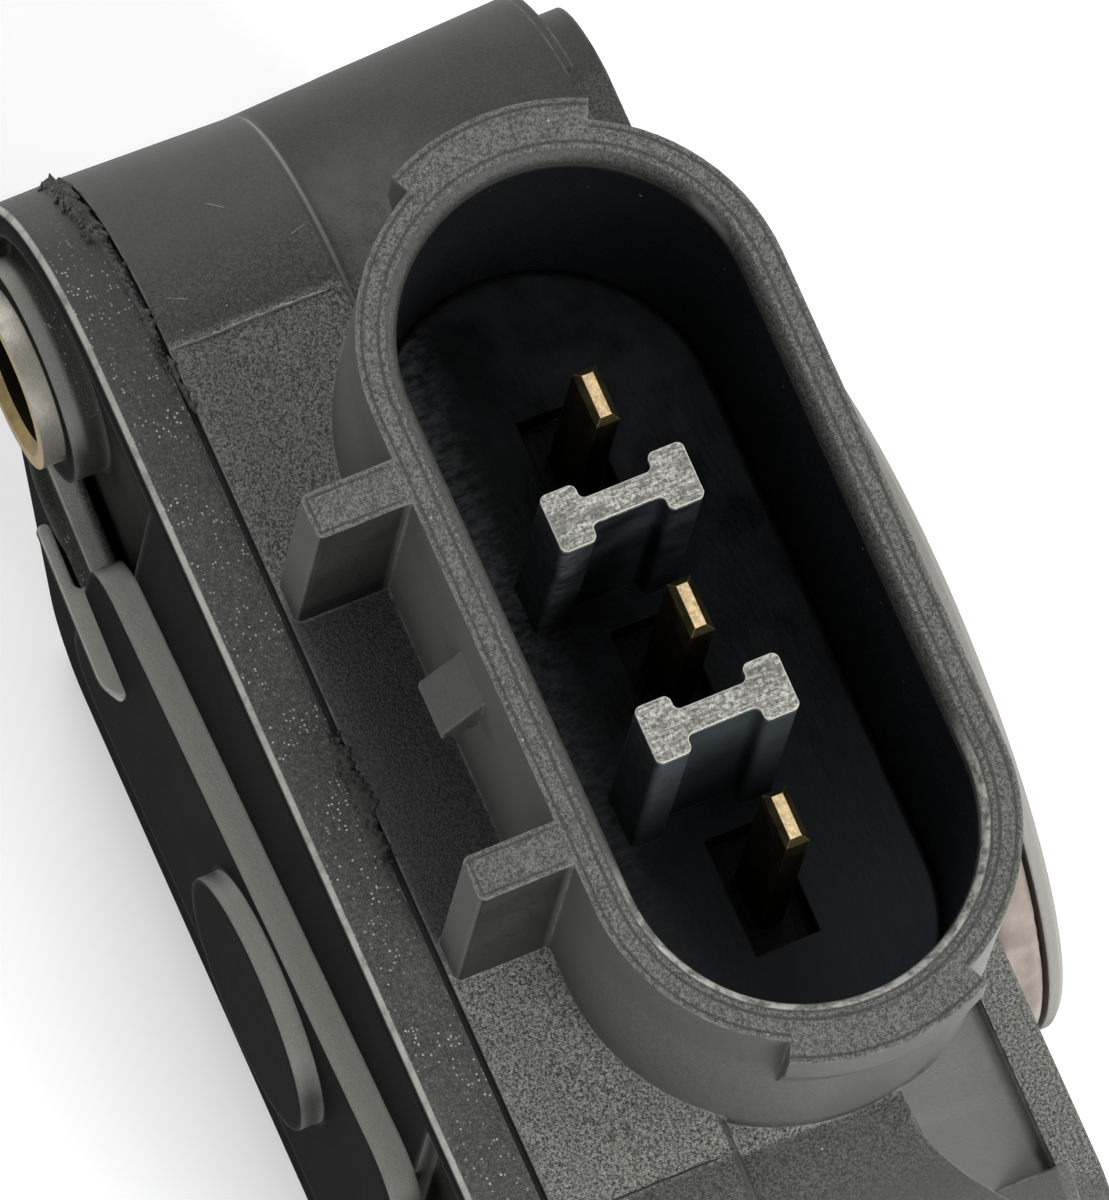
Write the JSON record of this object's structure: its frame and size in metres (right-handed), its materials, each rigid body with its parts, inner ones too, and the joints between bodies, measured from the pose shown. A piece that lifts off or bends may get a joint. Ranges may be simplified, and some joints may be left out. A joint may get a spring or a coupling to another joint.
{
  "type": "throttle position sensor",
  "caption": "Moulded throttle position sensor: two bolt ears, round pilot hub with a slotted, spring-return rotor, and an upright oval connector socket with blade pins.",
  "frame": {"origin": "where the rotor axis crosses the mounting face", "axes": "+Y along the rotor axis out of the hub, X along the line of the bolt ears, +Z towards the connector's mouth"},
  "size_m": [0.0376, 0.0192, 0.0296],
  "materials": {
    "housing": "fine spark-eroded grain, satin ear ends",
    "cover": "fine spark-eroded grain, satin edges",
    "carrier": "smooth dark moulding, rubbed grey post ends",
    "terminal": "plated brass, sheared tips",
    "bushing": "drawn tube, satin",
    "seal": "moulded rubber",
    "bead": "cured sealant",
    "board": "laminate board",
    "film": "printed resistive film",
    "rotor": "natural moulded nylon",
    "wiper": "thin spring strip",
    "spring": "drawn spring wire",
    "bearing": "sintered bronze",
    "washer": "pressed washer"
  },
  "bodies": {
    "body": {"housing": "housing", "rear_cover": "cover", "cover_seal": "bead", "hub_seal": "seal", "ear_bushing_left": "bushing", "ear_bushing_right": "bushing", "terminal_carrier": "carrier", "terminal_1": "terminal", "terminal_2": "terminal", "terminal_3": "terminal", "element_board": "board", "element_film": "film", "rotor_bush": "bearing", "rotor_seal": "seal", "thrust_washer": "washer", "return_spring": "spring"},
    "rotor": {"rotor": "rotor", "wiper_carrier": "rotor", "wiper_outer": "wiper", "wiper_inner": "wiper"}
  },
  "joints": [
    {"name": "rotor_turn", "type": "hinge", "parent": "body", "child": "rotor", "pos_m": [0, 0, 0], "axis": [0, 1, 0], "range_deg": [0, 100], "stiffness_Nm_per_rad": 0.012, "springref_deg": -17.19, "deforming": ["return_spring"]}
  ]
}
